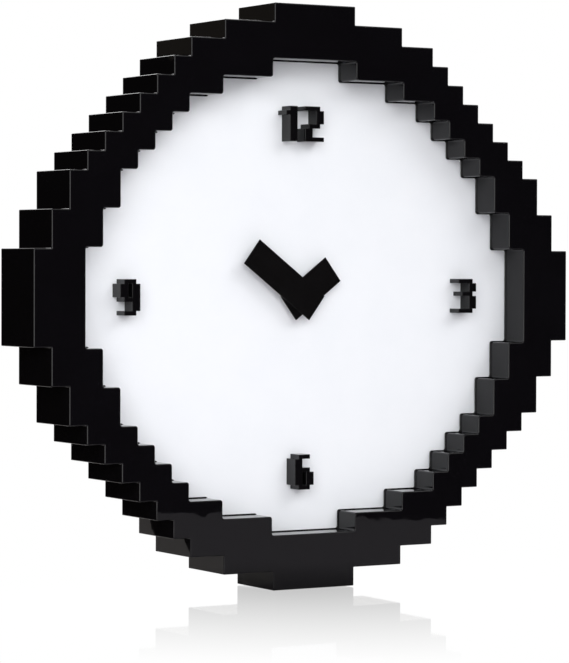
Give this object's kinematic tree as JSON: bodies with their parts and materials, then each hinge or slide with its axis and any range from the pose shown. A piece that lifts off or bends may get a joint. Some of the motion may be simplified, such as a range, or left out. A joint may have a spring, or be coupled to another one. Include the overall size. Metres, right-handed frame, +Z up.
{
  "type": "pixel wall clock",
  "caption": "Battery wall clock with a stepped pixel outline: glossy black frame, recessed white dial, block numerals and two bar hands on a quartz movement.",
  "frame": {"origin": "centre of the clock's footprint on the surface it stands on, under the hands' axis", "axes": "+X to the viewer's right, +Y into the wall behind the clock, +Z up"},
  "size_m": [0.33, 0.0386, 0.31],
  "materials": {
    "gloss_black_abs": "gloss moulded ABS",
    "white_dial": "satin white polystyrene",
    "numeral_black": "gloss moulded ABS",
    "hand_black": "black lacquer on aluminium",
    "brass": "turned brass",
    "zinc_steel": "zinc plated",
    "black_rubber": "moulded",
    "movement_black": "fine spark texture",
    "natural_acetal": "moulded",
    "grey_knob": "moulded",
    "magnet": "ground",
    "silicon_steel": "stamped",
    "green_bobbin": "moulded",
    "copper_wire": "enamelled",
    "board_green": "solder mask",
    "chip_black": "epoxy",
    "cell_jacket": "plain printed jacket"
  },
  "bodies": {
    "clock_body": {"frame": "gloss_black_abs", "dial": "white_dial", "dial_screws": "zinc_steel", "numeral_12_one": "numeral_black", "numeral_12_two": "numeral_black", "numeral_3": "numeral_black", "numeral_6": "numeral_black", "numeral_9": "numeral_black", "bush": "brass", "hex_nut": "brass", "front_washer": "zinc_steel", "rubber_gasket": "black_rubber", "movement_case": "movement_black", "movement_cover": "movement_black", "stator": "silicon_steel", "coil_core": "silicon_steel", "coil_bobbin": "green_bobbin", "coil_winding": "copper_wire", "circuit_board": "board_green", "chip": "chip_black", "quartz_crystal": "zinc_steel", "battery": "cell_jacket", "positive_contact": "zinc_steel", "negative_contact": "zinc_steel", "hanger_plate": "zinc_steel", "hanger_screws": "zinc_steel"},
    "minute_hand_body": {"minute_arbor": "brass", "minute_hand": "hand_black", "minute_collet": "brass"},
    "hour_hand_body": {"hour_wheel": "natural_acetal", "hour_hand": "hand_black", "hour_collet": "brass"},
    "setting_body": {"motion_wheel": "natural_acetal", "setting_knob": "grey_knob"},
    "centre_body": {"centre_wheel": "brass"},
    "third_body": {"third_wheel": "natural_acetal"},
    "seconds_body": {"seconds_wheel": "natural_acetal"},
    "step_body": {"step_wheel": "natural_acetal"},
    "rotor_body": {"rotor": "magnet"}
  },
  "joints": [
    {"name": "minute_turn", "type": "hinge", "parent": "clock_body", "child": "minute_hand_body", "pos_m": [0, 0, 0.155], "axis": [0, 1, 0], "continuous": true},
    {"name": "hour_turn", "type": "hinge", "parent": "clock_body", "child": "hour_hand_body", "pos_m": [0, 0, 0.155], "axis": [0, 1, 0], "continuous": true},
    {"name": "setting_turn", "type": "hinge", "parent": "clock_body", "child": "setting_body", "pos_m": [-0.00902, 0, 0.15828], "axis": [0, 1, 0], "continuous": true},
    {"name": "rotor_turn", "type": "hinge", "parent": "clock_body", "child": "rotor_body", "pos_m": [-0.00708, 0, 0.1676], "axis": [0, 1, 0], "continuous": true},
    {"name": "step_turn", "type": "hinge", "parent": "clock_body", "child": "step_body", "pos_m": [-0.00135, 0, 0.17162], "axis": [0, 1, 0], "continuous": true},
    {"name": "seconds_turn", "type": "hinge", "parent": "clock_body", "child": "seconds_body", "pos_m": [0.00542, 0, 0.16916], "axis": [0, 1, 0], "continuous": true},
    {"name": "third_turn", "type": "hinge", "parent": "clock_body", "child": "third_body", "pos_m": [0.00689, 0, 0.16079], "axis": [0, 1, 0], "continuous": true},
    {"name": "centre_turn", "type": "hinge", "parent": "clock_body", "child": "centre_body", "pos_m": [0, 0, 0.155], "axis": [0, 1, 0], "continuous": true}
  ],
  "couplings": [
    {"joint": "hour_turn", "follows": "minute_turn", "ratio": 0.083333},
    {"joint": "setting_turn", "follows": "minute_turn", "ratio": -0.33333},
    {"joint": "step_turn", "follows": "rotor_turn", "ratio": -0.16667},
    {"joint": "seconds_turn", "follows": "rotor_turn", "ratio": 0.033333},
    {"joint": "third_turn", "follows": "rotor_turn", "ratio": -0.0044444},
    {"joint": "centre_turn", "follows": "rotor_turn", "ratio": 0.00055556}
  ]
}
